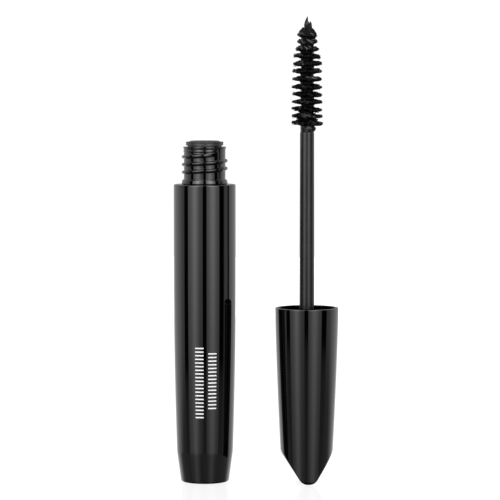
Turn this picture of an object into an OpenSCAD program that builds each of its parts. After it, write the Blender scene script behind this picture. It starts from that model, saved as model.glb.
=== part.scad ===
// Mascara tube, open for use. The bottle stands upright, and the cap with its wand stands beside it,
// upside down on the rounded ridge at the cap's end. The origin is the centre of the bottle's base,
// +Z is up, and +X runs from the bottle's axis to the wand's axis. Millimetres.

/* [Bottle] */
// Diameter of the barrel's straight part
barrel_d = 17; // [16.6:0.1:18]
// Height of the barrel, from the base to the flat shoulder
barrel_h = 82; // [82:0.5:95]
// Height at which the barrel starts to narrow towards its base
taper_z = 58; // [50:1:70]
// Radius of the long curve that narrows the barrel
taper_arc = 1520; // [1450:10:2400]

/* [Neck and thread] */
// Diameter of the plain neck under the thread
neck_d = 11.4; // [11.2:0.1:11.6]
// Height of the neck above the shoulder, with the wiper's flange
neck_h = 12; // [11.8:0.1:12.4]
// Rise of the thread in one turn
thread_pitch = 2.1; // [1.9:0.05:2.2]
// How many turns the thread on the neck makes
thread_turns = 2.45; // [2:0.05:2.5]
// How many turns of the cap close the tube
screw_turns = 2.5; // [2.5:0.05:2.7]

/* [Cap] */
// Diameter of the cap at its open rim
cap_d = 17.4; // [17:0.1:18.2]
// Height of the cap, from its rim to the ridge at its end
cap_h = 48.2; // [46:0.1:52]
// Angle between each slanted face of the cap's end and the cap's axis
face_angle = 33; // [30:1:38]
// Radius of the ridge where the two slanted faces meet
ridge_end_r = 3; // [2:0.1:3.2]
// Angle of the ridge, from straight front to back
ridge_turn = 8; // [0:1:90]

/* [Wand] */
// Diameter of the stem where it leaves the cap
stem_d = 4.1; // [3.4:0.1:4.1]
// Length of stem that shows outside the cap
stem_out = 48.3; // [40:0.1:48.3]
// Diameter of the brush at its full rows
brush_d = 8.2; // [7:0.1:8.4]
// Number of bristle rows
brush_rows = 13; // [9:1:13]
// Distance between bristle rows
row_pitch = 2; // [1.7:0.05:2]
// Diameter of one strand of the twisted wire
wire_d = 0.7; // [0.5:0.05:0.8]

/* [Layout] */
// Distance between the bottle's axis and the wand's axis
axis_gap = 28.1; // [24:0.1:60]

/* [Hidden] */

// Steps in each long outline curve and each small rounded edge
curve_steps = 12;
round_steps = 4;
full_circle = 360;
// A piece that presses into another is drawn this much smaller all round
press_gap = 0.02;
// Room between pieces that lie against each other
touch_gap = 0.05;
// How far a cut reaches past the solid that it cuts
cut = 1;
small_edge = 0.3;

// Barrel
barrel_r = barrel_d / 2;
foot_round = 0.6;
knee_z = 8.3;
foot_slope = 0.1465;
barrel_edge = 0.35;
barrel_floor = 1;
mouth_r = barrel_r - 1;
bore_low_z = 12;
bore_low_r = mouth_r - 0.75;
bore_foot_r = bore_low_r - 1;

// Vial
shoulder_plug_h = 1.6;
vial_r = mouth_r - 1.2;
vial_wall = 0.8;
vial_z = barrel_floor + touch_gap;
vial_floor = 0.85;
vial_foot_r = vial_r - 0.8;
vial_foot_h = 7;
vial_bore_r = vial_r - vial_wall;
ledge_r = neck_d / 2 + 0.62;
ledge_h = 1.3;
flange_h = 1.7;
neck_lip = 0.18;
neck_lip_h = 0.5;
neck_r = neck_d / 2;
neck_top_z = barrel_h + neck_h;
sleeve_r = 4.2;

// Thread: heights are above the shoulder, along the middle of the ridge, and the start is an angle from +X
thread_z = 3.1;
thread_start = 145;
ridge_h = 0.6;
cap_ridge_h = 0.5;
ridge_base = 1;
ridge_crest = 0.4;
ridge_root = 0.25;
thread_gap = 0.2;
cap_thread_z = thread_z + thread_turns * thread_pitch + ridge_base - screw_turns * thread_pitch;
cap_thread_start = thread_start + full_circle * ((cap_thread_z - thread_z) / thread_pitch + 0.5);
cap_thread_turns = 1.75;
steps_per_turn = 40;
fade_turns = 0.12;

// Wiper
flange_r = 5.15;
wiper_bore_r = 3.55;
wiper_crown_r = 3.95;
wiper_crown_h = 0.35;
wiper_hole_r = 2.2;
wiper_lip_z = barrel_h - 3.5;
wiper_cone_h = 5;
wiper_wall = 0.45;
wiper_lip_h = 0.6;

// Paste in the vial, with the hollow that the brush leaves in it
paste_hollow_r = brush_d / 2 + 0.35;
paste_foot = 0.6;
paste_top_z = barrel_h - 18;
paste_top_slope = 1.5;
paste_foot_slope = 3;

// Cap, in the wand's own frame: z is the height above the ridge at the cap's end
cap_r = cap_d / 2;
cap_edge = 0.25;
end_edge = 1;
cap_wall = 0.9;
cap_lean = 0.0245;
cap_bow = 0.00035;
hollow_z = 7;
hollow_side_z = 11;
core_gap = 0.06;
inner_cap_recess = 1.6;
inner_cap_len = 19;
ceiling_depth = neck_h + 0.9;
ceiling_z = cap_h - ceiling_depth;
inner_cap_bore_r = neck_r + ridge_h + thread_gap;
socket_depth = inner_cap_len - ceiling_depth;
liner_h = 0.75;
liner_gap = 0.1;
liner_bore_r = 3.9;
advance = screw_turns * thread_pitch;

// Wand, in the same frame
stem_top_z = cap_h + stem_out;
stem_r = stem_d / 2;
stem_taper = 0.1;
stem_top_r = stem_r - stem_taper;
wire_socket_depth = 7;
wire_end_gap = 0.2;
strand_offset = wire_d * 0.48;
wire_reach_r = strand_offset + wire_d / 2;
wire_twist_pitch = 4;
wire_slices_per_mm = 2.5;
first_row_z = stem_top_z + 2.3;
last_row_z = first_row_z + (brush_rows - 1) * row_pitch;
brush_core_r = 1.8;
brush_core_low_z = first_row_z - 0.7;
brush_end_z = last_row_z + 0.9;
brush_tip_ease = 8.5;
brush_tip_loss = 1.4;
row_gap = 0.2;
row_edge = row_pitch * 0.28;
collar_d = 1.3;
wisp_foot_h = 0.3;
wisp_belly = 0.8;
wisp_tip = 0.25;
ring_h = 1.5;
ring_r = wiper_bore_r - 0.25;
ring_bore_gap = 0.15;
rim_gap = 0.1;
closed_end_z = barrel_h + rim_gap + cap_h;

// A point on a circle around the middle of an outline's rounded edge
function round_point(middle, radius, angle) = middle + radius * [cos(angle), sin(angle)];

// Points of a rounded edge from one angle to the other
function round_edge(middle, radius, from, to) = [
    for (i = [0:round_steps])
        round_point(middle, radius, from + (to - from) * i / round_steps)
];

// Radius of the barrel's long curve at a height
function barrel_curve_r(z) = barrel_r - pow(max(taper_z - z, 0), 2) / (2 * taper_arc);

// Radius of the cap's side at a height above the ridge at its end
function cap_side_r(z) = cap_r - cap_lean * (cap_h - z) - cap_bow * pow(cap_h - z, 2);

// Radius of a bristle row: the rows near the tip are smaller
function row_r(z) =
    let (from_tip = min((last_row_z - z) / brush_tip_ease, 1))
    brush_d / 2 - brush_tip_loss * (1 + cos(180 * from_tip)) / 2;

// Height of the ridge along its run: it fades in and out at its ends
function ridge_rise(turn, turns) = min(1, max(0.05, min(turn, turns - turn) / fade_turns));

// One cross-section of a thread ridge: two points in the wall that it stands on and two on its crest.
// side is 1 for a ridge on the outside of a neck and -1 for one inside a cap. height is how far the
// ridge stands out, and turn is how far the section is along the ridge's turns
function ridge_section(wall_r, side, height, turn, turns) =
    let (
        rise = ridge_rise(turn, turns),
        root = wall_r - side * ridge_root,
        crest = wall_r + side * height * rise,
        middle = thread_pitch * turn
    )
    [for (corner = [[root, -ridge_base], [crest, -ridge_crest], [crest, ridge_crest], [root, ridge_base]])
        [
            corner[0] * cos(full_circle * turn),
            corner[0] * sin(full_circle * turn),
            middle + corner[1] / 2
        ]
    ];

// A right-hand helical ridge that starts on the +X side at level 0 and stands out by height
module thread_ridge(wall_r, side, height, turns) {
    sections = round(turns * steps_per_turn);
    points = [
        for (i = [0:sections])
            each ridge_section(wall_r, side, height, turns * i / sections, turns)
    ];
    sides = [
        for (i = [0:sections - 1], k = [0:3])
            let (a = 4 * i + k, b = 4 * i + (k + 1) % 4)
            each (side > 0
                ? [[a, b, a + 4], [b, b + 4, a + 4]]
                : [[a, a + 4, b], [b, a + 4, b + 4]])
    ];
    last = 4 * sections;
    ends = side > 0
        ? [[3, 2, 1, 0], [last, last + 1, last + 2, last + 3]]
        : [[0, 1, 2, 3], [last + 3, last + 2, last + 1, last]];
    polyhedron(points, concat(sides, ends), convexity = 4);
}

// Moves a piece from the wand's own frame to where the wand stands
module on_wand() {
    translate([axis_gap, 0, 0]) children();
}

// Moves a piece from the place that it has in the closed tube into the wand's own frame
module from_closed() {
    translate([0, 0, closed_end_z])
        rotate([0, 0, -full_circle * screw_turns])
            rotate([0, 180, 0])
                children();
}

// Glossy outer shell: a flat base, a narrowing lower part, a straight upper part and an open top
module outer_barrel() {
    foot_r = barrel_curve_r(knee_z) - foot_slope * (knee_z - foot_round);
    color("#0c0c0e")
        rotate_extrude($fn = 96)
            polygon(concat(
                [[0, 0]],
                round_edge([foot_r - foot_round, foot_round], foot_round, -90, 0),
                [for (i = [0:curve_steps])
                    let (z = knee_z + (taper_z - knee_z) * i / curve_steps)
                    [barrel_curve_r(z), z]
                ],
                round_edge([barrel_r - barrel_edge, barrel_h - barrel_edge], barrel_edge, 0, 90),
                [
                    [mouth_r, barrel_h],
                    [mouth_r, barrel_h - 2 * shoulder_plug_h],
                    [bore_low_r, bore_low_z],
                    [bore_foot_r, barrel_floor],
                    [0, barrel_floor]
                ]
            ));
}

// Inner vial that holds the paste: its plug closes the barrel, and its neck carries the thread
module inner_vial() {
    lip_z = neck_top_z - flange_h - neck_lip_h;
    color("#141416")
        union() {
            rotate_extrude($fn = 96)
                polygon([
                    [0, vial_z],
                    [vial_foot_r, vial_z],
                    [vial_r, vial_z + vial_foot_h],
                    [vial_r, barrel_h - shoulder_plug_h],
                    [mouth_r - press_gap, barrel_h - shoulder_plug_h],
                    [mouth_r - press_gap, barrel_h],
                    [ledge_r, barrel_h],
                    [ledge_r, barrel_h + ledge_h],
                    [neck_r, barrel_h + ledge_h],
                    [neck_r, lip_z],
                    [neck_r + neck_lip, lip_z + neck_lip],
                    [neck_r + neck_lip, neck_top_z - flange_h],
                    [sleeve_r + press_gap, neck_top_z - flange_h],
                    [sleeve_r + press_gap, barrel_h - shoulder_plug_h],
                    [vial_bore_r, barrel_h - 2 * shoulder_plug_h],
                    [vial_bore_r, vial_z + vial_foot_h],
                    [vial_foot_r - vial_wall, vial_z + vial_floor],
                    [0, vial_z + vial_floor]
                ]);
            translate([0, 0, barrel_h + thread_z])
                rotate([0, 0, thread_start])
                    thread_ridge(neck_r, 1, ridge_h, thread_turns);
        }
}

// Wiper: a flange on the neck, a sleeve inside it and a lip that wipes the stem
module wiper() {
    flange_z = neck_top_z - flange_h;
    rim_z = neck_top_z - wiper_crown_h;
    cone_top_z = wiper_lip_z + wiper_cone_h;
    color("#26262a")
        rotate_extrude($fn = 96)
            polygon([
                [sleeve_r, flange_z],
                [flange_r, flange_z],
                [flange_r, rim_z - small_edge / 2],
                [flange_r - small_edge / 2, rim_z],
                [wiper_crown_r, neck_top_z],
                [wiper_bore_r, neck_top_z - small_edge],
                [wiper_bore_r, cone_top_z],
                [wiper_hole_r, wiper_lip_z + wiper_lip_h],
                [wiper_hole_r, wiper_lip_z],
                [wiper_hole_r + wiper_wall, wiper_lip_z],
                [sleeve_r, cone_top_z - wiper_lip_h]
            ]);
}

// Paste on the vial's wall and floor, with a hollow where the brush dips
module mascara_formula() {
    foot_top_z = vial_z + vial_foot_h;
    floor_z = vial_z + vial_floor;
    color("#050505")
        rotate_extrude($fn = 96)
            polygon([
                [vial_foot_r - vial_wall - paste_foot, floor_z + press_gap],
                [vial_foot_r - vial_wall - press_gap, floor_z + press_gap],
                [vial_bore_r - press_gap, foot_top_z],
                [vial_bore_r - press_gap, paste_top_z],
                [paste_hollow_r, paste_top_z - paste_top_slope],
                [paste_hollow_r, foot_top_z],
                [vial_foot_r - vial_wall - paste_foot, foot_top_z - paste_foot_slope]
            ]);
}

// Round body of the cap as a solid, from its flat end with a rounded edge to its rim
module cap_body() {
    side_low_z = end_edge;
    side_high_z = cap_h - cap_edge;
    rotate_extrude($fn = 96)
        polygon(concat(
            [[0, 0]],
            round_edge([cap_side_r(end_edge) - end_edge, end_edge], end_edge, -90, 0),
            [for (i = [1:curve_steps])
                let (z = side_low_z + (side_high_z - side_low_z) * i / curve_steps)
                [cap_side_r(z), z]
            ],
            [[cap_r - cap_edge, cap_h], [0, cap_h]]
        ));
}

// Long prism that leaves two slanted faces and a rounded ridge at the cap's end
module end_faces() {
    top_z = cap_h + cut;
    face_high_z = hollow_side_z + cut;
    foot_x = ridge_end_r * (1 - sin(face_angle)) / cos(face_angle);
    high_x = foot_x + face_high_z * tan(face_angle);
    rotate([0, 0, ridge_turn])
        rotate([90, 0, 0])
            linear_extrude(cap_d + 2 * cut, center = true)
                polygon(concat(
                    round_edge([0, ridge_end_r], ridge_end_r, face_angle - 180, -face_angle),
                    [[high_x, face_high_z], [high_x, top_z], [-high_x, top_z], [-high_x, face_high_z]]
                ));
}

// Space inside the cap, from its open rim to a cone over the ridge
module cap_hollow() {
    rotate_extrude($fn = 96)
        polygon(concat(
            [[0, hollow_z]],
            [for (i = [0:curve_steps / 2])
                let (z = hollow_side_z + (cap_h - hollow_side_z) * i / (curve_steps / 2))
                [cap_side_r(z) - cap_wall, z]
            ],
            [[cap_r - cap_wall, cap_h + cut], [0, cap_h + cut]]
        ));
}

// Glossy outer shell of the cap, with a chisel-shaped end
module cap_shell() {
    color("#0c0c0e")
        on_wand()
            difference() {
                intersection() {
                    cap_body();
                    end_faces();
                }
                cap_hollow();
            }
}

// Threaded core of the cap: a bore with the cap's thread, and a plug that holds the stem
module inner_cap() {
    top_z = cap_h - inner_cap_recess;
    low_z = cap_h - inner_cap_len;
    color("#18181a")
        on_wand()
            union() {
                rotate_extrude($fn = 96)
                    polygon([
                        [stem_r + press_gap, low_z],
                        [cap_side_r(low_z) - cap_wall - core_gap, low_z],
                        [cap_side_r(top_z) - cap_wall - core_gap, top_z],
                        [inner_cap_bore_r, top_z],
                        [inner_cap_bore_r, ceiling_z],
                        [stem_r + press_gap, ceiling_z]
                    ]);
                from_closed()
                    translate([0, 0, barrel_h + cap_thread_z])
                        rotate([0, 0, cap_thread_start])
                            thread_ridge(inner_cap_bore_r, -1, cap_ridge_h, cap_thread_turns);
            }
}

// Stem, with its foot in the inner cap and a socket for the brush's wire at its top
module stem() {
    color("#2a2b2e")
        on_wand()
            rotate_extrude($fn = 64)
                polygon([
                    [0, ceiling_z - socket_depth],
                    [stem_r, ceiling_z - socket_depth],
                    [stem_r, cap_h],
                    [stem_top_r, stem_top_z - small_edge],
                    [stem_top_r - small_edge, stem_top_z],
                    [wire_reach_r + press_gap, stem_top_z],
                    [wire_reach_r + press_gap, stem_top_z - wire_socket_depth],
                    [0, stem_top_z - wire_socket_depth]
                ]);
}

// Two strands of wire twisted together, which grip the bristles
module wire_core() {
    low_z = stem_top_z - wire_socket_depth + wire_end_gap;
    wire_h = brush_end_z - low_z;
    turn = -full_circle * wire_h / wire_twist_pitch;
    color("#8d9094")
        on_wand()
            translate([0, 0, low_z])
                linear_extrude(wire_h, twist = turn, slices = round(wire_h * wire_slices_per_mm))
                    for (strand = [0, 180])
                        rotate(strand) translate([strand_offset, 0]) circle(d = wire_d, $fn = 8);
}

// Bristles: a sleeve of paste and fibre roots on the wire, with a row of bristles at each step
module bristles() {
    half_row = (row_pitch - row_gap) / 2;
    half_edge = row_edge / 2;
    color("#060606")
        on_wand()
            difference() {
                union() {
                    translate([0, 0, brush_core_low_z])
                        cylinder(r = brush_core_r, h = brush_end_z - brush_core_low_z, $fn = 48);
                    for (row = [0:brush_rows - 1]) {
                        z = first_row_z + row * row_pitch;
                        rotate_extrude($fn = 48)
                            polygon([
                                [0, z - half_row],
                                [brush_core_r, z - half_row],
                                [row_r(z), z - half_edge],
                                [row_r(z), z + half_edge],
                                [brush_core_r, z + half_row],
                                [0, z + half_row]
                            ]);
                    }
                }
                translate([0, 0, stem_top_z])
                    cylinder(r = wire_reach_r + press_gap, h = brush_end_z, $fn = 48);
            }
}

// Collar of paste left on the wire where the brush meets the stem
module root_paste() {
    color("#060606")
        on_wand()
            translate([0, 0, stem_top_z + collar_d / 2 + touch_gap])
                rotate_extrude($fn = 48)
                    translate([wire_reach_r + press_gap + collar_d / 2, 0]) circle(d = collar_d, $fn = 24);
}

// A strand of paste that stands on the brush's end at a distance from the axis and tapers to its tip
module paste_wisp(offset, tip, foot_d) {
    color("#060606")
        on_wand()
            translate([0, 0, brush_end_z + touch_gap])
                hull() {
                    translate([offset, 0, 0]) cylinder(d = foot_d, h = wisp_foot_h, $fn = 16);
                    translate([offset, 0, tip[2] / 2]) sphere(d = foot_d * wisp_belly, $fn = 12);
                    translate(tip) sphere(d = foot_d * wisp_tip, $fn = 8);
                }
}

// Taller strand of paste at the brush's tip
module tip_wisp_long() {
    paste_wisp(-0.55, [0, 0, 3.9], 1.2);
}

// Shorter strand of paste beside it
module tip_wisp_short() {
    paste_wisp(0.65, [0.9, 0, 2.3], 1.05);
}

// Flat ring at the top of the inner cap that the neck's rim closes against
module cap_liner() {
    color("#5a5a5e")
        on_wand()
            translate([0, 0, ceiling_z + touch_gap])
                difference() {
                    cylinder(r = inner_cap_bore_r - ridge_h - liner_gap, h = liner_h, $fn = 96);
                    translate([0, 0, -cut]) cylinder(r = liner_bore_r, h = liner_h + 2 * cut, $fn = 96);
                }
}

// Ring on the stem that plugs the wiper's mouth when the tube is closed
module seal_ring() {
    closed_z = closed_end_z - neck_top_z + small_edge;
    bore_r = stem_r + ring_bore_gap;
    color("#5a5a5e")
        on_wand()
            translate([0, 0, closed_z + advance])
                difference() {
                    cylinder(r = ring_r, h = ring_h, $fn = 64);
                    translate([0, 0, -cut]) cylinder(r = bore_r, h = ring_h + 2 * cut, $fn = 64);
                }
}

outer_barrel();
inner_vial();
wiper();
mascara_formula();
cap_shell();
inner_cap();
stem();
wire_core();
bristles();
root_paste();
tip_wisp_long();
cap_liner();
seal_ring();
tip_wisp_short();
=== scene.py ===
import math
import random
from collections import namedtuple

import bpy
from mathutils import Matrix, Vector, noise


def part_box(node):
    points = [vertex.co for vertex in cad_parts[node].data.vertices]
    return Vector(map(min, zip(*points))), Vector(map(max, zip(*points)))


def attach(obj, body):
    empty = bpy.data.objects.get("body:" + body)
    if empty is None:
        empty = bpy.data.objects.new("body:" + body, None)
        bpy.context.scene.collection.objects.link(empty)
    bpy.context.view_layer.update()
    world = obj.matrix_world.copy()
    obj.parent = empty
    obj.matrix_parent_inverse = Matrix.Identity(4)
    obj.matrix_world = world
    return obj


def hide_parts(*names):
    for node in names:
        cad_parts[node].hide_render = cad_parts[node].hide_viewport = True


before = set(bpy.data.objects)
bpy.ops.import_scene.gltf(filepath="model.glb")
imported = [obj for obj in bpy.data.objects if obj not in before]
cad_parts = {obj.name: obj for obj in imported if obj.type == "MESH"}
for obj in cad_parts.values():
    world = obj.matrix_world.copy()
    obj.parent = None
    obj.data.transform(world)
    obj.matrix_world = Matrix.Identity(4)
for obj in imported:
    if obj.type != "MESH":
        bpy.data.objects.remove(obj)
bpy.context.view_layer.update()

MM = 0.001

# Where the CAD parts stand, in metres
BARREL_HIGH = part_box("outer_barrel")[1]
CAP_LOW, CAP_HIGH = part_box("cap_shell")
VIAL_LOW, VIAL_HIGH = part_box("inner_vial")
WIPER_LOW, WIPER_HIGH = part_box("wiper")
INNER_CAP_LOW, INNER_CAP_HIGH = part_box("inner_cap")
STEM_LOW, STEM_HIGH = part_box("stem")
WIRE_LOW, WIRE_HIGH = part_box("wire_core")
WAND_X = (CAP_LOW.x + CAP_HIGH.x) / 2

# Their main sizes, in millimetres
BARREL_R = BARREL_HIGH.x / MM
SHOULDER_Z = BARREL_HIGH.z / MM
CAP_R = (CAP_HIGH.x - CAP_LOW.x) / 2 / MM
CAP_H = CAP_HIGH.z / MM
STEM_R = (STEM_HIGH.x - STEM_LOW.x) / 2 / MM
STEM_TOP_Z = STEM_HIGH.z / MM
WIRE_R = (WIRE_HIGH.x - WIRE_LOW.x) / 2 / MM
# A piece that is pressed onto another is drawn this much wider inside
PRESS_GAP = 0.02

# Steps round a turned piece, round a piece with fine detail, and along a rounded edge
TURN_STEPS = 192
FINE_TURN_STEPS = 256
EDGE_STEPS = 6
# A rounded edge takes up at most this share of the lines that it joins
EDGE_SHARE = 0.45
# A point beside each rounded edge, this many sizes of the edge away, keeps the shading next to it flat
EDGE_GUARD = 1.08
# A profile point that is nearer to its axis than this, in metres, is a pole
POLE_R = 1e-7
# The rough pieces of the brush are smoothed across sharper folds than the moulded ones, in degrees
ROUGH_ANGLE = 80


# ---------------------------------------------------------------- mesh helpers

def mesh_piece(name, points, faces, smooth_angle=50):
    """A new mesh object with smooth shading, creased where faces meet at more than smooth_angle degrees."""
    mesh = bpy.data.meshes.new(name)
    mesh.from_pydata(points, [], faces)
    mesh.validate()
    mesh.shade_smooth()
    mesh.set_sharp_from_angle(angle=math.radians(smooth_angle))
    piece = bpy.data.objects.new(name, mesh)
    bpy.context.scene.collection.objects.link(piece)
    return piece


def add_rings(points, faces, rings, closed):
    """Skins rings of points, each a full ring or one pole. If closed, the last ring joins the first."""
    steps = max(len(ring) for ring in rings)
    numbered = []
    for ring in rings:
        first = len(points)
        points.extend(ring)
        if len(ring) == 1:
            numbered.append([first] * steps)
        else:
            numbered.append([first + k for k in range(steps)])
    pairs = list(zip(numbered, numbered[1:]))
    if closed:
        pairs.append((numbered[-1], numbered[0]))
    for low, high in pairs:
        for k in range(steps):
            n = (k + 1) % steps
            corners = []
            for corner in (low[k], low[n], high[n], high[k]):
                if corner not in corners:
                    corners.append(corner)
            if len(corners) > 2:
                faces.append(corners)


def turned_rings(profile, axis_x, warp, steps):
    """Rings for a profile of (radius, height) turned round a vertical axis. A warp changes each radius."""
    rings = []
    for radius, height in profile:
        if radius < POLE_R:
            rings.append([(axis_x, 0, height)])
            continue
        ring = []
        for k in range(steps):
            angle = 2 * math.pi * k / steps
            r = radius if warp is None else warp(radius, height, angle)
            ring.append((axis_x + r * math.cos(angle), r * math.sin(angle), height))
        rings.append(ring)
    return rings


def turned(name, profile, axis_x=0.0, warp=None, steps=TURN_STEPS):
    """A turned solid. The profile runs up the outside and down the inside."""
    points, faces = [], []
    ends_in_poles = profile[0][0] < POLE_R and profile[-1][0] < POLE_R
    add_rings(points, faces, turned_rings(profile, axis_x, warp, steps), not ends_in_poles)
    return mesh_piece(name, points, faces)


def rounded(corners):
    """A profile in metres from corners in millimetres, each (radius, height, size of its rounded edge)."""
    outline = []
    count = len(corners)
    for i, (r, z, size) in enumerate(corners):
        here = Vector((r, z))
        if size == 0:
            outline.append(here)
            continue
        before = Vector(corners[(i - 1) % count][:2]) - here
        after = Vector(corners[(i + 1) % count][:2]) - here
        before_len = min(size, before.length * EDGE_SHARE)
        after_len = min(size, after.length * EDGE_SHARE)
        start = here + before.normalized() * before_len
        end = here + after.normalized() * after_len
        outline.append(here + before.normalized() * before_len * EDGE_GUARD)
        for k in range(EDGE_STEPS + 1):
            t = k / EDGE_STEPS
            outline.append(start * (1 - t) ** 2 + here * 2 * t * (1 - t) + end * t ** 2)
        outline.append(here + after.normalized() * after_len * EDGE_GUARD)
    return [(point.x * MM, point.y * MM) for point in outline]


def wand_point(r, angle, z):
    """A point in metres from a radius and a height in millimetres and an angle, round the wand's axis."""
    return Vector((WAND_X + r * math.cos(angle) * MM, r * math.sin(angle) * MM, z * MM))


def tube_rings(centres, radii, steps):
    """Rings round a line of centres, with a pole point at each end."""
    rings = [[tuple(centres[0])]]
    side = None
    for i, centre in enumerate(centres):
        along = (centres[min(i + 1, len(centres) - 1)] - centres[max(i - 1, 0)]).normalized()
        if side is None:
            side = along.orthogonal().normalized()
        side = (side - along * side.dot(along)).normalized()
        other = along.cross(side)
        ring = []
        for k in range(steps):
            angle = 2 * math.pi * k / steps
            ring.append(tuple(centre + (side * math.cos(angle) + other * math.sin(angle)) * radii[i]))
        rings.append(ring)
    rings.append([tuple(centres[-1])])
    return rings


def ramp(value, start, end):
    """Eases from 0 at start to 1 at end, which may be the lower of the two, and stays level outside them."""
    x = min(max((value - start) / (end - start), 0.0), 1.0)
    return x * x * (3 - 2 * x)


# ---------------------------------------------------------------- materials

PLASTIC_IOR = 1.5
DEEP_BLACK = (0.0006, 0.0006, 0.0007)
# Depth of the lumps in the paste's surface
PASTE_DEPTH = 0.12 * MM
# Noise values mostly lie between these two
NOISE_LOW = 0.3
NOISE_HIGH = 0.7


def new_material(name, colour, roughness, specular=0.5):
    """A Principled material. Returns the material, its node tree and its shader."""
    material = bpy.data.materials.new(name)
    material.use_nodes = True
    shader = material.node_tree.nodes["Principled BSDF"]
    shader.inputs["Base Color"].default_value = (*colour, 1)
    shader.inputs["Roughness"].default_value = roughness
    shader.inputs["IOR"].default_value = PLASTIC_IOR
    shader.inputs["Specular IOR Level"].default_value = specular
    return material, material.node_tree, shader


def object_noise(tree, scale, detail, stretch=(1, 1, 1)):
    """Noise in the piece's own space, with scale in features per metre."""
    place = tree.nodes.new("ShaderNodeTexCoord")
    mapping = tree.nodes.new("ShaderNodeMapping")
    mapping.inputs["Scale"].default_value = stretch
    texture = tree.nodes.new("ShaderNodeTexNoise")
    texture.inputs["Scale"].default_value = scale
    texture.inputs["Detail"].default_value = detail
    tree.links.new(place.outputs["Object"], mapping.inputs["Vector"])
    tree.links.new(mapping.outputs["Vector"], texture.inputs["Vector"])
    return texture.outputs["Fac"]


def spread(tree, value, low, high):
    """Maps a noise value to the range from low to high."""
    node = tree.nodes.new("ShaderNodeMapRange")
    node.inputs["From Min"].default_value = NOISE_LOW
    node.inputs["From Max"].default_value = NOISE_HIGH
    node.inputs["To Min"].default_value = low
    node.inputs["To Max"].default_value = high
    tree.links.new(value, node.inputs["Value"])
    return node.outputs["Result"]


def mix_colours(tree, value, first, second):
    """Mixes two colours by a value from 0 to 1."""
    node = tree.nodes.new("ShaderNodeMix")
    node.data_type = "RGBA"
    node.inputs["A"].default_value = (*first, 1)
    node.inputs["B"].default_value = (*second, 1)
    tree.links.new(value, node.inputs["Factor"])
    return node.outputs["Result"]


def add_bump(tree, shader, height, depth):
    """Relief from a noise value, with its depth in metres."""
    bump = tree.nodes.new("ShaderNodeBump")
    bump.inputs["Distance"].default_value = depth
    bump.inputs["Strength"].default_value = 1
    tree.links.new(height, bump.inputs["Height"])
    tree.links.new(bump.outputs["Normal"], shader.inputs["Normal"])


def gloss_material(name, colour, roughness, ripple):
    """Polished black moulding: a deep gloss with slight changes in polish and a faint moulding ripple."""
    material, tree, shader = new_material(name, colour, roughness)
    polish = object_noise(tree, scale=260, detail=3, stretch=(1, 1, 0.15))
    tree.links.new(spread(tree, polish, roughness * 0.8, roughness * 1.3), shader.inputs["Roughness"])
    tint = object_noise(tree, scale=90, detail=2)
    lighter = tuple(c * 1.6 for c in colour)
    tree.links.new(mix_colours(tree, tint, colour, lighter), shader.inputs["Base Color"])
    waves = object_noise(tree, scale=420, detail=2, stretch=(1, 1, 0.3))
    add_bump(tree, shader, waves, ripple)
    return material


def satin_material(name, colour, roughness, grain, depth, stretch=(1, 1, 1), specular=0.5):
    """Moulded plastic with a satin surface of so many grains per metre."""
    material, tree, shader = new_material(name, colour, roughness, specular)
    fine = object_noise(tree, grain, detail=5, stretch=stretch)
    tree.links.new(spread(tree, fine, roughness * 0.85, roughness * 1.2), shader.inputs["Roughness"])
    lighter = tuple(min(c * 1.5, 1) for c in colour)
    tree.links.new(mix_colours(tree, fine, colour, lighter), shader.inputs["Base Color"])
    add_bump(tree, shader, fine, depth)
    return material


def paste_material(name, roughness, specular, lump_scale, lighter, painted_highlight_share=-1.2):
    """Thick black paste with wetter and drier patches and lumps, and lighter streaks of painted highlight.
    The last argument sets how much of it carries that painted highlight.
    """
    material, tree, shader = new_material(name, DEEP_BLACK, roughness, specular)
    wet = object_noise(tree, lump_scale * 0.5, detail=3)
    tree.links.new(spread(tree, wet, roughness * 0.5, roughness * 1.4), shader.inputs["Roughness"])
    # The lighter colour is painted highlight: streaks where light would catch the paste
    tint = object_noise(tree, lump_scale * 0.35, detail=3)
    painted_highlights = spread(tree, tint, painted_highlight_share, 1.0)
    tree.links.new(mix_colours(tree, painted_highlights, DEEP_BLACK, lighter), shader.inputs["Base Color"])
    add_bump(tree, shader, object_noise(tree, lump_scale, detail=6), PASTE_DEPTH)
    return material


def metal_material(name, steel_colour, paste_colour):
    """Drawn steel wire, darker and wetter where paste is left on it."""
    steel_roughness = 0.5
    paste_roughness = 0.2
    material, tree, shader = new_material(name, steel_colour, steel_roughness)
    shader.inputs["Metallic"].default_value = 1
    clean = object_noise(tree, scale=900, detail=4)
    tree.links.new(mix_colours(tree, clean, paste_colour, steel_colour), shader.inputs["Base Color"])
    tree.links.new(spread(tree, clean, paste_roughness, steel_roughness), shader.inputs["Roughness"])
    return material


SHELL = gloss_material("gloss_shell", DEEP_BLACK, roughness=0.035, ripple=0.0006 * MM)
VIAL = gloss_material("vial_plastic", (0.001, 0.001, 0.0012), roughness=0.045, ripple=0.001 * MM)
WIPER = satin_material("wiper_plastic", (0.009, 0.009, 0.0095), roughness=0.42, grain=2500, depth=0.004 * MM)
INNER_CAP = satin_material("core_plastic", (0.02, 0.02, 0.021), roughness=0.4, grain=2500, depth=0.004 * MM)
STEM = satin_material(
    "stem_plastic", (0.003, 0.003, 0.0033), roughness=0.3, grain=3000, depth=0.004 * MM,
    stretch=(1, 1, 0.06), specular=0.4,
)
LINER = satin_material("liner_foam", (0.32, 0.32, 0.33), roughness=0.8, grain=5000, depth=0.04 * MM)
RUBBER = satin_material("seal_rubber", (0.02, 0.02, 0.021), roughness=0.55, grain=4000, depth=0.01 * MM)
INK = satin_material("print_ink", (0.86, 0.86, 0.86), roughness=0.5, grain=6000, depth=0.002 * MM)
WIRE = metal_material("wire", (0.5, 0.51, 0.53), (0.02, 0.02, 0.02))
PASTE = paste_material(
    "paste", roughness=0.36, specular=0.05, lump_scale=2600, lighter=(0.014, 0.014, 0.0145),
)
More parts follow.
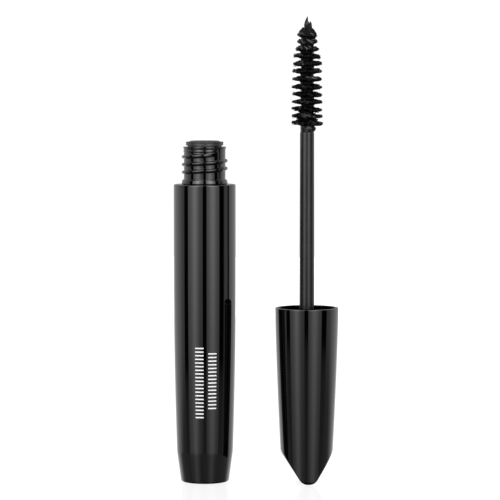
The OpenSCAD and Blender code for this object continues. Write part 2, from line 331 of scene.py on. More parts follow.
# Drier paste whose much lighter streaks are painted highlight
DRY_PASTE_PAINTED_HIGHLIGHT = paste_material(
    "dry_paste_painted_highlight", roughness=0.4, specular=0.15, lump_scale=3200, lighter=(0.12, 0.12, 0.123), painted_highlight_share=-0.8,
)
FIBRE = paste_material(
    "bristle_fibre", roughness=0.3, specular=0.15, lump_scale=3000, lighter=(0.025, 0.025, 0.026),
)
# Fibres whose pale colour is painted highlight, as where light from the left catches them
PAINTED_HIGHLIGHT_FIBRE = paste_material(
    "painted_highlight_fibre", roughness=0.35, specular=0.5, lump_scale=3000, lighter=(0.16, 0.16, 0.165), painted_highlight_share=0,
)


def finish_piece(piece, material, slot_name, body, *replaced):
    """Gives a piece its material, and ties it to its CAD body and the CAD nodes it stands for. Its slot name
    is not used.
    """
    piece.data.materials.clear()
    piece.data.materials.append(material)
    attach(piece, body)
    if replaced:
        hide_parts(*replaced)
    return piece


# ---------------------------------------------------------------- bottle

# Barrel outline in millimetres, as the CAD draws it
TAPER_Z = 58
TAPER_ARC = 1520
KNEE_Z = 8.3
FOOT_R = 6.544
MOUTH_R = 7.5
MOUTH_DEPTH = 3.2
BORE_LOW_Z = 12
BORE_LOW_R = 6.75
BORE_FOOT_R = 5.75
BARREL_FLOOR = 1


def barrel_curve_r(z):
    """Radius of the barrel's long curve at a height."""
    return BARREL_R - max(TAPER_Z - z, 0) ** 2 / (2 * TAPER_ARC)


def barrel():
    """The barrel, straight above and narrower below, with a bevelled foot and an open mouth."""
    side_steps = 60
    side_top_z = TAPER_Z + 6
    side = []
    for k in range(1, side_steps):
        z = KNEE_Z + (side_top_z - KNEE_Z) * k / side_steps
        side.append((barrel_curve_r(z), z, 0))
    corners = [
        (0, 0, 0),
        (FOOT_R, 0, 0.55),
        (barrel_curve_r(KNEE_Z), KNEE_Z, 0.7),
        *side,
        (BARREL_R, SHOULDER_Z, 0.4),
        (MOUTH_R, SHOULDER_Z, 0.05),
        (MOUTH_R, SHOULDER_Z - MOUTH_DEPTH, 0.2),
        (BORE_LOW_R, BORE_LOW_Z, 0.5),
        (BORE_FOOT_R, BARREL_FLOOR, 0.4),
        (0, BARREL_FLOOR, 0),
    ]
    piece = turned("barrel_shell", rounded(corners), steps=FINE_TURN_STEPS)
    return finish_piece(piece, SHELL, "gloss_shell", "bottle", "outer_barrel")


# Vial and neck outline in millimetres. The plug closes the barrel's mouth, with the ledge on top of it.
VIAL_R = 6.3
VIAL_FOOT_R = 5.5
VIAL_FOOT_H = 7
VIAL_FLOOR = 0.85
VIAL_BORE_R = 5.5
VIAL_BORE_FOOT_R = 4.7
PLUG_R = 7.48
PLUG_H = 1.6
LEDGE_R = 6.36
LEDGE_H = 1.3
NECK_R = 5.7
NECK_BORE_R = 4.22
NECK_LIP_R = 5.88
NECK_LIP_H = 0.32

# Thread on the neck: heights above the shoulder, in millimetres, and its start as an angle from +X
THREAD_Z = 3.1
THREAD_START = math.radians(145)
THREAD_PITCH = 2.1
THREAD_TURNS = 2.45
SCREW_TURNS = 2.5
RIDGE_H = 0.6
RIDGE_BASE = 1
# How far the ridge reaches up and down from its middle, and half the height of its flat crest
RIDGE_ABOVE = 0.54
RIDGE_BELOW = 0.7
HALF_CREST = 0.18
# The ridge fades in and out over this part of a turn
FADE_TURNS = 0.12

# A low bead above the thread: its height above the shoulder, and its two ends in degrees from +X
BEAD_Z = 9.1
BEAD_H = 0.17
BEAD_START = 130
BEAD_END = 322
BEAD_FADE = 30


def ridge_height(angle, z, start, low_z, turns, height):
    """Height of a helical ridge at an angle and a height. Its long flank is below, and its ends fade."""
    best = 0.0
    first = ((angle - start) / (2 * math.pi)) % 1
    for turn in (first, first + 1, first + 2):
        if turn > turns:
            break
        above = z - low_z - THREAD_PITCH * turn
        flank = ramp(above, RIDGE_ABOVE, HALF_CREST) if above > 0 else ramp(above, -RIDGE_BELOW, -HALF_CREST)
        run_out = ramp(min(turn, turns - turn), 0, FADE_TURNS)
        best = max(best, height * run_out * flank)
    return best


def bead_height(angle, z):
    """Height of the bead, which runs round the left and front of the neck."""
    turn = math.degrees(angle) % 360
    run_in = ramp(turn, BEAD_START, BEAD_START + BEAD_FADE)
    run_out = ramp(turn, BEAD_END, BEAD_END - BEAD_FADE)
    return BEAD_H * run_in * run_out * ramp(abs(z - BEAD_Z), 0.3, 0.05)


def neck_thread(radius, height, angle):
    """Adds the ridge and the bead to the part of the vial's outline that is the neck's outside."""
    z = height / MM - SHOULDER_Z
    if radius / MM < NECK_R - 0.01 or z < LEDGE_H + 0.2:
        return radius
    ridge = ridge_height(angle, z, THREAD_START, THREAD_Z, THREAD_TURNS, RIDGE_H)
    return radius + max(ridge, bead_height(angle, z)) * MM


def vial():
    """The vial inside the barrel, with its plug in the barrel's mouth, its ledge and its threaded neck."""
    top = VIAL_HIGH.z / MM
    low = VIAL_LOW.z / MM
    neck_low = SHOULDER_Z + LEDGE_H + 0.3
    neck_high = top - 0.75
    neck_rows = 84
    neck = []
    for k in range(neck_rows + 1):
        neck.append((NECK_R, neck_low + (neck_high - neck_low) * k / neck_rows, 0))
    corners = [
        (0, low, 0),
        (VIAL_FOOT_R, low, 0.4),
        (VIAL_R, low + VIAL_FOOT_H, 1),
        (VIAL_R, SHOULDER_Z - PLUG_H, 0.1),
        (PLUG_R, SHOULDER_Z - PLUG_H, 0.1),
        (PLUG_R, SHOULDER_Z, 0.05),
        (LEDGE_R - 0.16, SHOULDER_Z, 0.02),
        (LEDGE_R, SHOULDER_Z + 0.25, 0.2),
        (LEDGE_R - 0.24, SHOULDER_Z + LEDGE_H, 0.25),
        (NECK_R, SHOULDER_Z + LEDGE_H + 0.06, 0.12),
        *neck,
        (NECK_LIP_R, top - NECK_LIP_H, 0.12),
        (NECK_LIP_R, top, 0.1),
        (NECK_BORE_R, top, 0.1),
        (NECK_BORE_R, SHOULDER_Z - PLUG_H, 0.3),
        (VIAL_BORE_R, SHOULDER_Z - MOUTH_DEPTH, 0.5),
        (VIAL_BORE_R, low + VIAL_FOOT_H, 1),
        (VIAL_BORE_FOOT_R, low + VIAL_FLOOR, 0.4),
        (0, low + VIAL_FLOOR, 0),
    ]
    piece = turned("vial_and_neck", rounded(corners), warp=neck_thread, steps=FINE_TURN_STEPS)
    return finish_piece(piece, VIAL, "vial_plastic", "bottle", "inner_vial")


# Wiper outline in millimetres: a flange on the neck's rim with a groove under it, a sleeve, and a lip below
FLANGE_R = 5.18
FLANGE_WAIST_R = 5.08
FLANGE_LOW_H = 0.38
GROOVE_R = 4.7
GROOVE_H = 0.34
WIPER_SLEEVE_R = 4.2
CROWN_R = 3.9
CROWN_H = 0.35
WIPER_BORE_R = 3.55
CONE_H = 5
HOLE_R = 2.2
LIP_R = 2.6
LIP_H = 0.6
CONE_OUTSIDE_H = 4.4


def wiper():
    """The wiper, which scrapes the stem and the brush as they are pulled out."""
    top = WIPER_HIGH.z / MM
    seat = VIAL_HIGH.z / MM
    low = WIPER_LOW.z / MM
    rim = top - CROWN_H
    corners = [
        (WIPER_SLEEVE_R, seat, 0.05),
        (GROOVE_R, seat, 0.03),
        (GROOVE_R, seat + GROOVE_H, 0.05),
        (FLANGE_R, seat + FLANGE_LOW_H, 0.06),
        (FLANGE_WAIST_R, (seat + rim) / 2, 0.3),
        (FLANGE_R, rim, 0.08),
        (WIPER_SLEEVE_R, rim + 0.05, 0.25),
        (CROWN_R, top, 0.3),
        (WIPER_BORE_R, top - 0.3, 0.1),
        (WIPER_BORE_R, low + CONE_H, 0.6),
        (HOLE_R, low + LIP_H, 0.15),
        (HOLE_R, low, 0.08),
        (LIP_R, low, 0.1),
        (WIPER_SLEEVE_R, low + CONE_OUTSIDE_H, 0.3),
    ]
    piece = turned("wiper_insert", rounded(corners))
    return finish_piece(piece, WIPER, "wiper_plastic", "bottle", "wiper")


# Plain printed marks, low on the barrel's front: two columns of short bars. Each column has its middle in
# degrees from +X, the height of its lowest bar in millimetres, and its number of bars.
MARK_COLUMNS = ((-95.6, 18.4, 20), (-70.7, 20.9, 16))
MARK_PITCH = 1.0
MARK_BAR = 0.34
MARK_WIDTH_DEG = 16
# How far the bars stand out of the barrel and reach into it
MARK_LIFT = 0.012
MARK_DEPTH = 0.03


def add_mark(points, faces, centre, low_z):
    """One bar, which follows the barrel's curve."""
    steps = 12
    high_z = low_z + MARK_BAR
    section = ((MARK_LIFT, low_z), (MARK_LIFT, high_z), (-MARK_DEPTH, high_z), (-MARK_DEPTH, low_z))
    first = len(points)
    for k in range(steps + 1):
        angle = math.radians(centre + MARK_WIDTH_DEG * (k / steps - 0.5))
        for out, z in section:
            r = barrel_curve_r(z) + out
            points.append((r * math.cos(angle) * MM, r * math.sin(angle) * MM, z * MM))
    for k in range(steps):
        here = first + 4 * k
        for side in range(4):
            n = (side + 1) % 4
            faces.append((here + side, here + 4 + side, here + 4 + n, here + n))
    last = first + 4 * steps
    faces.append((first, first + 1, first + 2, first + 3))
    faces.append((last + 3, last + 2, last + 1, last))


def printed_marks():
    """The columns of bars, as one piece."""
    points, faces = [], []
    for centre, low_z, count in MARK_COLUMNS:
        for bar in range(count):
            add_mark(points, faces, centre, low_z + bar * MARK_PITCH)
    piece = mesh_piece("printed_marks", points, faces)
    return finish_piece(piece, INK, "print_ink", "bottle")


# ---------------------------------------------------------------- cap and wand

# Cap outline in millimetres, as the CAD draws it: height above the ridge at the cap's end
CAP_LEAN = 0.0245
CAP_BOW = 0.00035
CAP_WALL = 0.9
FACE_ANGLE = math.radians(33)
RIDGE_R = 3
RIDGE_TURN = math.radians(8)
END_EDGE = 1
CREASE = 0.5
HOLLOW_Z = 7
HOLLOW_SIDE_Z = 11


def cap_side_r(z):
    """Radius of the cap's side at a height."""
    depth = CAP_H - z
    return CAP_R - CAP_LEAN * depth - CAP_BOW * depth ** 2


def cap_body_r(z):
    """Radius of the cap's round body, which has a rounded edge at its flat end."""
    if z > END_EDGE:
        return cap_side_r(z)
    return cap_side_r(END_EDGE) - END_EDGE + math.sqrt(max(END_EDGE ** 2 - (END_EDGE - z) ** 2, 0))


def cap_end_half(z):
    """Half the distance between the two slanted faces of the cap's end, which meet in a rounded ridge."""
    if z < RIDGE_R * (1 - math.sin(FACE_ANGLE)):
        return math.sqrt(max(RIDGE_R ** 2 - (RIDGE_R - z) ** 2, 0))
    return RIDGE_R * (1 - math.sin(FACE_ANGLE)) / math.cos(FACE_ANGLE) + z * math.tan(FACE_ANGLE)


def cap_end(radius, height, angle):
    """Pulls the round body in to the slanted faces, with a softened crease where they meet its side."""
    never_zero = 0.002
    towards_face = max(abs(math.cos(angle - RIDGE_TURN)), never_zero)
    face = cap_end_half(height / MM) / towards_face
    side = radius / MM
    overlap = max(CREASE - abs(face - side), 0)
    return (min(face, side) - overlap ** 2 / (4 * CREASE)) * MM


def cap():
    """The cap's shell, with its slanted end below and its open rim above."""
    end_z = 10
    end_steps = 90
    outline = [(0, 0, 0)]
    for k in range(1, end_steps + 1):
        z = end_z * (k / end_steps) ** 1.6
        outline.append((cap_body_r(z), z, 0))
    side_steps = 48
    side_top_z = CAP_H - 0.5
    for k in range(1, side_steps):
        z = end_z + (side_top_z - end_z) * k / side_steps
        outline.append((cap_side_r(z), z, 0))
    inside = []
    inside_steps = 12
    for k in range(1, inside_steps + 1):
        z = CAP_H - (CAP_H - HOLLOW_SIDE_Z) * k / inside_steps
        inside.append((cap_side_r(z) - CAP_WALL, z, 0))
    corners = [
        *outline,
        (CAP_R, CAP_H, 0.22),
        (CAP_R - CAP_WALL, CAP_H, 0.12),
        *inside,
        (0, HOLLOW_Z, 0),
    ]
    piece = turned("cap_outer_shell", rounded(corners), WAND_X, warp=cap_end, steps=384)
    return finish_piece(piece, SHELL, "gloss_shell", "wand", "cap_shell")


# Inner cap in millimetres. The ceiling's depth is from the cap's rim, and its thread fits the neck's.
INNER_CAP_GAP = 0.06
INNER_CAP_BORE_R = 6.5
CEILING_DEPTH = 12.9
RIM_GAP = 0.1
CAP_RIDGE_H = 0.5
CAP_THREAD_TURNS = 1.75
CAP_THREAD_Z = THREAD_Z + THREAD_TURNS * THREAD_PITCH + RIDGE_BASE - SCREW_TURNS * THREAD_PITCH
CAP_THREAD_START = THREAD_START + 2 * math.pi * ((CAP_THREAD_Z - THREAD_Z) / THREAD_PITCH + 0.5)


def cap_thread(radius, height, angle):
    """Adds the ridge as it lies in the closed tube, turned back to where the open cap has it."""
    if abs(radius / MM - INNER_CAP_BORE_R) > 0.01:
        return radius
    closed_z = RIM_GAP + CAP_H - height / MM
    closed_angle = math.pi - angle - 2 * math.pi * SCREW_TURNS
    ridge = ridge_height(
        closed_angle, closed_z, CAP_THREAD_START, CAP_THREAD_Z, CAP_THREAD_TURNS, CAP_RIDGE_H
    )
    return radius - ridge * MM


def inner_cap():
    """The threaded core that is pressed into the cap's shell and holds the stem."""
    top = INNER_CAP_HIGH.z / MM
    low = INNER_CAP_LOW.z / MM
    ceiling = CAP_H - CEILING_DEPTH
    side_gap = CAP_WALL + INNER_CAP_GAP
    wall_rows = 90
    wall = []
    for k in range(1, wall_rows):
        wall.append((INNER_CAP_BORE_R, top - (top - ceiling) * k / wall_rows, 0))
    corners = [
        (STEM_R + PRESS_GAP, low, 0.05),
        (cap_side_r(low) - side_gap, low, 0.2),
        (cap_side_r(top) - side_gap, top, 0.15),
        (INNER_CAP_BORE_R, top, 0.3),
        *wall,
        (INNER_CAP_BORE_R, ceiling, 0.2),
        (STEM_R + PRESS_GAP, ceiling, 0.05),
    ]
    piece = turned("cap_threaded_core", rounded(corners), WAND_X, warp=cap_thread)
    return finish_piece(piece, INNER_CAP, "vial_plastic", "wand", "inner_cap")


# Stem and wire in millimetres
STEM_TAPER = 0.1
WIRE_SOCKET_DEPTH = 7
WIRE_TWIST_PITCH = 4
# How far the two strands reach from their common axis, in widths of one strand
STRAND_REACH = 0.98


def stem():
    """The stem, which narrows a little above the cap and has a socket for the wire in its end."""
    low = STEM_LOW.z / MM
    top_r = STEM_R - STEM_TAPER
    corners = [
        (0, low, 0),
        (STEM_R, low, 0.1),
        (STEM_R, CAP_H, 2),
        (top_r, STEM_TOP_Z - 0.3, 0.2),
        (top_r - 0.3, STEM_TOP_Z, 0.1),
        (WIRE_R + PRESS_GAP, STEM_TOP_Z, 0.04),
        (WIRE_R + PRESS_GAP, STEM_TOP_Z - WIRE_SOCKET_DEPTH, 0.02),
        (0, STEM_TOP_Z - WIRE_SOCKET_DEPTH, 0),
    ]
    piece = turned("stem_rod", rounded(corners), WAND_X, steps=96)
    return finish_piece(piece, STEM, "stem_plastic", "wand", "stem")


def twisted_wire():
    """The two strands of wire that hold the brush."""
    strand_r = WIRE_R / STRAND_REACH / 2
    low = WIRE_LOW.z / MM
    high = WIRE_HIGH.z / MM
    steps = 160
    points, faces = [], []
    for phase in (0, math.pi):
        centres = []
        for k in range(steps + 1):
            z = low + (high - low) * k / steps
            centres.append(wand_point(strand_r, 2 * math.pi * z / WIRE_TWIST_PITCH + phase, z))
        radii = [strand_r * MM] * len(centres)
        add_rings(points, faces, tube_rings(centres, radii, steps=10), closed=False)
    piece = mesh_piece("brush_wire", points, faces)
    return finish_piece(piece, WIRE, "wire", "wand", "wire_core")


# ---------------------------------------------------------------- brush

# Brush in millimetres. Its rows stand on a sleeve of paste round the wire.
BRUSH_R = 4.1
SLEEVE_R = 1.7
ROW_COUNT = 13
LAST_ROW = ROW_COUNT - 1
ROW_PITCH = 2.0
ROW_ZERO = STEM_TOP_Z + 2.3
BRUSH_END_Z = ROW_ZERO + LAST_ROW * ROW_PITCH + 0.9
# Rows are moved by up to this much, so that they stand closer together at the brush's two ends
ROW_SPREAD = 0.24
# Over this stretch before the tip, the rows lose this much of their radius
TIP_EASE = 8.5
TIP_LOSS = 1.4
# The longest fibre clears the hollow in the vial's paste when the tube is closed
FIBRE_END_R = 4.35
TUFT_COUNT = 26
FIBRES_PER_TUFT = 9
# Fibres per chosen tuft in the pale piece, whose colour is painted highlight
PAINTED_HIGHLIGHT_FIBRES_PER_TUFT = 6
SHORT_STRAYS = 260
LOOSE_STRAYS = 150
# Half the thickness of each kind of fibre at its root
FIBRE_R = 0.1
SHORT_STRAY_R = 0.075
LOOSE_STRAY_R = 0.16
# A row's paste reaches these shares of the row's radius between the tufts and of a tuft's own reach
WEB_LOW_SHARE = 0.8
WEB_TUFT_SHARE = 0.96
BRUSH_SEED = 11

Tuft = namedtuple("Tuft", "angle reach lean width")


def row_z(row):
    """Height of a row."""
    return ROW_ZERO + row * ROW_PITCH - ROW_SPREAD * math.sin(2 * math.pi * row / LAST_ROW)


def row_r(row):
    """Radius of a row."""
    from_tip = min((row_z(LAST_ROW) - row_z(row)) / TIP_EASE, 1)
    return BRUSH_R - TIP_LOSS * (1 + math.cos(math.pi * from_tip)) / 2


def outward(angle):
    """The direction away from the wand's axis at an angle."""
    return Vector((math.cos(angle), math.sin(angle), 0))


def lumps(angle, z, fineness, seed):
    """Smooth noise from -1 to 1 on a cylinder."""
    return noise.noise(Vector((math.cos(angle) * fineness, math.sin(angle) * fineness, z * fineness + seed)))


def rough(point, size, seed):
    """Smooth noise from -1 to 1 with lumps of a size in millimetres."""
    return noise.noise(point / (size * MM) + Vector((seed, seed * 2, 0)))


def roughened(point, out, seed):
    """Moves a point of the brush's paste a little, out from the wire and up or down."""
    push = 0.13 * rough(point, 0.9, seed) + 0.1 * rough(point, 0.38, seed + 5)
    lift = 0.1 * rough(point, 0.7, seed + 11) + 0.07 * rough(point, 0.33, seed + 17)
    return tuple(point + (out * push + Vector((0, 0, lift))) * MM)


def paste_sleeve(points, faces):
    """The sleeve of paste and fibre roots on the wire, between the rows."""
    steps = 120
    rows = 200
    low = ROW_ZERO - 1
    rings = [[tuple(wand_point(0, 0, low))]]
    for i in range(rows + 1):
        z = low + (BRUSH_END_Z - low) * i / rows
        ring = []
        for k in range(steps):
            angle = 2 * math.pi * k / steps
            r = SLEEVE_R + 0.18 * lumps(angle, z, fineness=1.6, seed=3)
            ring.append(roughened(wand_point(r, angle, z), outward(angle), seed=3))
        rings.append(ring)
    rings.append([tuple(wand_point(0, 0, BRUSH_END_Z))])
    add_rings(points, faces, rings, closed=False)


def tuft_plan(rng, row):
    """The tufts of one row, which is tilted a little. The rows spread wider towards the brush's root."""
    tilt = rng.uniform(-0.05, 0.2)
    widest = row_r(row) * (1.055 - 0.009 * min(row, 8))
    plan = []
    for k in range(TUFT_COUNT):
        angle = 2 * math.pi * (k + rng.uniform(-0.35, 0.35)) / TUFT_COUNT
        reach = widest * rng.uniform(0.92, 1.03)
        lean = rng.gauss(0, 0.13) - tilt * math.cos(angle)
        plan.append(Tuft(angle, reach, lean, width=rng.uniform(0.09, 0.17)))
    return plan


def web_edge(plan, angle, low_reach):
    """How far a row's paste reaches at an angle, and how far it leans with the tufts near there."""
    reach = low_reach
    lean = 0.0
    weight = 0.0
    for tuft in plan:
        off = (angle - tuft.angle + math.pi) % (2 * math.pi) - math.pi
        near = math.exp(-(off / tuft.width) ** 2)
        reach = max(reach, low_reach + (tuft.reach * WEB_TUFT_SHARE - low_reach) * near)
        lean += tuft.lean * near
        weight += near
    return reach, lean / max(weight, 0.4)


def web_thickness(u, angle, is_tip):
    """Half thickness of a row's paste from its root, u = 0, to its edge, u = 1. It is blunt at the right."""
    blunt = 0.5 + 0.5 * math.cos(angle)
    edge = 0.16 + 0.22 * blunt
    thick = edge + (0.52 - edge) * (1 - u ** 3) + 0.3 * max(1 - u * 2.2, 0) ** 2
    if is_tip:
        # The top of the last row rises to a cone
        thick += 1.45 * (1 - u) ** 0.5
    return thick


def row_web(points, faces, rng, row, plan):
    """The clumped paste of one row: a ragged fin, blunt on its right side and leaf-shaped on its left."""
    steps = 240
    angles = [2 * math.pi * k / steps for k in range(steps)]
    edges = [web_edge(plan, angle, WEB_LOW_SHARE * row_r(row)) for angle in angles]
    last = row == LAST_ROW
    drop = 0.25 if last else 0
    fullness = 1 if last else rng.uniform(0.92, 1.28)
    root = SLEEVE_R - 0.5
    row_steps = 13
    along = [1 - (1 - i / row_steps) ** 1.35 for i in range(row_steps)]
    outline = [(u, -1) for u in along] + [(1.0, 0)] + [(u, 1) for u in reversed(along)]
    rings = []
    for u, side in outline:
        ring = []
        for angle, (reach, lean) in zip(angles, edges):
            r = root + u * (reach - root)
            thick = web_thickness(u, angle, is_tip=last and side > 0)
            thick *= fullness * (1 + 0.35 * lumps(angle, row * 7 + side, fineness=2.2, seed=5))
            wave = 0.12 * lumps(angle, row * 5, fineness=1.3, seed=21) + lean * u
            z = row_z(row) - drop + wave + side * thick * (1 - 0.55 * u ** 10)
            ring.append(roughened(wand_point(r, angle, z), outward(angle), seed=row))
        rings.append(ring)
    add_rings(points, faces, rings, closed=True)


def fibre(points, faces, root, end, root_half, bend=1):
    """A fibre between two places of (radius, angle, height). A high bend turns it only near its end."""
    steps = 5
    centres, radii = [], []
    end_r = min(end[0], FIBRE_END_R)
    for k in range(steps + 1):
        u = k / steps
        blend = ramp(u, 0, 1) ** bend
        r = root[0] + u * (end_r - root[0])
        angle = root[1] + (end[1] - root[1]) * blend
        centres.append(wand_point(r, angle, root[2] + (end[2] - root[2]) * blend))
        radii.append(root_half * (1 - 0.45 * u) * MM)
    add_rings(points, faces, tube_rings(centres, radii, steps=5), closed=False)


def row_fibres(points, faces, rng, row, plan):
    """The fibres of one row: each starts at the sleeve and gathers into its tuft's point."""
    for tuft in plan:
        for _ in range(FIBRES_PER_TUFT):
            root = (SLEEVE_R - 0.3, tuft.angle + rng.gauss(0, 0.16), row_z(row) + rng.uniform(-0.8, 0.8))
            reach = tuft.reach * rng.uniform(0.93, 1.035)
            height = row_z(row) + tuft.lean + rng.gauss(0, 0.19)
            fibre(points, faces, root, (reach, tuft.angle + rng.gauss(0, 0.06), height), FIBRE_R)


def painted_highlight_fibres(points, faces, rng, row, plan):
    """Fibres whose paler colour is painted highlight, where light from the left would catch them. They lie
    aslant over some tufts, mostly on the left.
    """
    for tuft in plan:
        # Tufts on the left, where light would catch them, more often get the pale fibres of painted
        # highlight
        left = 0.5 - 0.5 * math.cos(tuft.angle)
        if rng.random() > 0.09 + 0.45 * left ** 2:
            continue
        for _ in range(PAINTED_HIGHLIGHT_FIBRES_PER_TUFT):
            root = (SLEEVE_R + 0.2, tuft.angle - rng.uniform(0.25, 0.6), row_z(row) + rng.uniform(0.45, 0.8))
            reach = tuft.reach * rng.uniform(0.92, 1.03)
            height = row_z(row) + tuft.lean + rng.uniform(-0.35, 0.2)
            fibre(points, faces, root, (reach, tuft.angle + rng.gauss(0, 0.1), height), FIBRE_R, bend=2.5)


def stray_fibres(points, faces, rng):
    """Short fibres that lie aslant on the sleeve, and longer loose ones near the brush's root."""
    for _ in range(SHORT_STRAYS):
        angle = rng.uniform(0, 2 * math.pi)
        z = rng.uniform(row_z(0) - 0.9, row_z(LAST_ROW))
        turn = rng.uniform(0.25, 0.7) * rng.choice((-1, -1, 1))
        end = (SLEEVE_R + rng.uniform(0.1, 0.55), angle + turn, z + rng.uniform(0.5, 1.5))
        fibre(points, faces, (SLEEVE_R + 0.05, angle, z), end, SHORT_STRAY_R)
    for _ in range(LOOSE_STRAYS):
        angle = rng.uniform(0, 2 * math.pi)
        z = row_z(0) + rng.uniform(-0.6, 3.6)
        end = (rng.uniform(2.1, 3.5), angle + rng.gauss(0, 0.3), z + rng.gauss(0.1, 0.45))
        fibre(points, faces, (SLEEVE_R - 0.2, angle, z), end, LOOSE_STRAY_R)


def brush():
    """The brush in three pieces: the paste, the fibres in it, and the paler fibres whose colour is painted
    highlight.
    """
    rng = random.Random(BRUSH_SEED)
    paste_points, paste_faces = [], []
    fibre_points, fibre_faces = [], []
    painted_highlight_points, painted_highlight_faces = [], []
    paste_sleeve(paste_points, paste_faces)
    for row in range(ROW_COUNT):
        plan = tuft_plan(rng, row)
        row_web(paste_points, paste_faces, rng, row, plan)
        row_fibres(fibre_points, fibre_faces, rng, row, plan)
        painted_highlight_fibres(painted_highlight_points, painted_highlight_faces, rng, row, plan)
    stray_fibres(fibre_points, fibre_faces, rng)
    paste = mesh_piece("brush_paste", paste_points, paste_faces, ROUGH_ANGLE)
    fibres = mesh_piece("brush_fibres", fibre_points, fibre_faces, ROUGH_ANGLE)
    # The pale fibres' colour is painted highlight
    painted_highlight_piece = mesh_piece("brush_painted_highlight_fibres", painted_highlight_points, painted_highlight_faces, ROUGH_ANGLE)
    finish_piece(paste, PASTE, "paste", "wand")
    finish_piece(painted_highlight_piece, PAINTED_HIGHLIGHT_FIBRE, "bristle_fibre", "wand")
    finish_piece(fibres, FIBRE, "bristle_fibre", "wand", "bristles")


def root_collar():
    """Paste scraped up against the end of the stem, with a lump on its right side."""
    steps = 64
    rows = 18
    low = STEM_TOP_Z - 0.25
    high = STEM_TOP_Z + 1.7
    collar_r = 1.72
    foot_r = 1.82
    points, faces, rings = [], [], []
    for i in range(rows + 1):
        u = i / rows
        z = low + (high - low) * u
        ring = []
        for k in range(steps):
            angle = 2 * math.pi * k / steps
            facing = max(math.cos(angle + 0.2), 0) ** 2
            lump = 0.62 * facing * math.sin(math.pi * u) ** 1.3
            uneven = 0.12 * lumps(angle, z, fineness=2.2, seed=31)
            r = collar_r + 0.14 * math.sin(math.pi * u) + lump + uneven
            ring.append(tuple(wand_point(foot_r if i == 0 else r, angle, z)))
        rings.append(ring)
    inner_r = WIRE_R + PRESS_GAP
    for z in (high, low):
        rings.append([tuple(wand_point(inner_r, 2 * math.pi * k / steps, z)) for k in range(steps)])
    add_rings(points, faces, rings, closed=True)
    piece = mesh_piece("brush_root_paste", points, faces, ROUGH_ANGLE)
    return finish_piece(piece, DRY_PASTE_PAINTED_HIGHLIGHT, "paste", "wand", "root_paste")


def wisp(name, foot, tip, belly_r, seed):
    """A strand of paste that stands on the brush's tip: thick to its middle, and then tapered to a point."""
    steps = 28
    middle = 0.5
    foot, tip = Vector(foot), Vector(tip)
    points, faces = [], []
    centres, radii = [], []
    for k in range(steps + 1):
        u = k / steps
        centre = foot.lerp(tip, u)
        centre.x += 0.07 * math.sin(u * 6 + seed)
        centres.append(Vector((WAND_X, 0, 0)) + centre * MM)
        taper = min((1 - u) / (1 - middle), 1) ** 0.9
        radii.append(max(belly_r * taper * (0.85 + 0.15 * ramp(u, 0, middle)), 0.05) * MM)
    rings = tube_rings(centres, radii, steps=28)
    for centre, ring in zip(centres, rings[1:-1]):
        for k, point in enumerate(ring):
            push = 1 + 0.3 * rough(Vector(point), 0.8, seed) + 0.25 * rough(Vector(point), 0.35, seed)
            ring[k] = tuple(centre + (Vector(point) - centre) * push)
    add_rings(points, faces, rings, closed=False)
    return mesh_piece(name, points, faces, ROUGH_ANGLE)


def tip_wisps():
    """The two strands, each from its foot to its tip in millimetres from the wand's axis."""
    foot_z = BRUSH_END_Z
    tall_z = foot_z + 4.25
    short_z = foot_z + 2.95
    tall = wisp("tip_strand_tall", (-0.25, -0.1, foot_z), (0.05, 0, tall_z), belly_r=0.7, seed=1)
    short = wisp("tip_strand_short", (0.7, 0, foot_z), (0.86, 0, short_z), belly_r=0.58, seed=4)
    finish_piece(tall, DRY_PASTE_PAINTED_HIGHLIGHT, "paste", "wand", "tip_wisp_long")
    finish_piece(short, FIBRE, "paste", "wand", "tip_wisp_short")


# ---------------------------------------------------------------- CAD parts that stay as they are

def dress_cad_nodes():
    """Materials for the paste in the vial, the liner and the seal ring, which hardly show."""
    for node, material in (
        ("mascara_formula", PASTE),
        ("cap_liner", LINER),
        ("seal_ring", RUBBER),
    ):
        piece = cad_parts[node]
        piece.data.materials.clear()
        piece.data.materials.append(material)


# ---------------------------------------------------------------- studio

CAMERA_AT = Vector((62.2, -715.8, 111.4)) * MM
CAMERA_AIM = Vector((12.4, 0.9, 63.9)) * MM
CAMERA_LENS = 188.6
CAMERA_SENSOR = 36
STUDIO_CENTRE = Vector((12.5, 0, 60)) * MM
STUDIO_RADIUS = 0.5
ROOM_STRENGTH = 1.05
FLOOR_HALF = 0.9
FLOOR_GLOW = 0.8
# The floor lies this far below the object's base, so that their faces don't share a plane
FLOOR_DROP = 0.05 * MM


def camera():
    """The camera, at the photo's viewing angle."""
    data = bpy.data.cameras.new("camera")
    data.lens = CAMERA_LENS
    data.sensor_width = CAMERA_SENSOR
    data.clip_start = 0.05
    data.clip_end = 20
    holder = bpy.data.objects.new("camera", data)
    holder.location = CAMERA_AT
    holder.rotation_euler = (CAMERA_AIM - CAMERA_AT).to_track_quat("-Z", "Y").to_euler()
    bpy.context.scene.collection.objects.link(holder)
    bpy.context.scene.camera = holder


# The front softboxes, in degrees from the studio's front. Each has a start and an end, the centre and width
# of its brightest stretch, its brightness elsewhere and there, and what is added towards its outer side.
Softbox = namedtuple("Softbox", "start end centre width base peak outer_lift")
SOFTBOXES = (
    Softbox(start=-65.5, end=-9.3, centre=-38.5, width=13, base=0.3, peak=1, outer_lift=0.13),
    Softbox(start=5.3, end=54.7, centre=28, width=14, base=0.35, peak=0.95, outer_lift=0),
)
# The dark room between and beside the softboxes
DARK_START = -82
DARK_END = 75.5


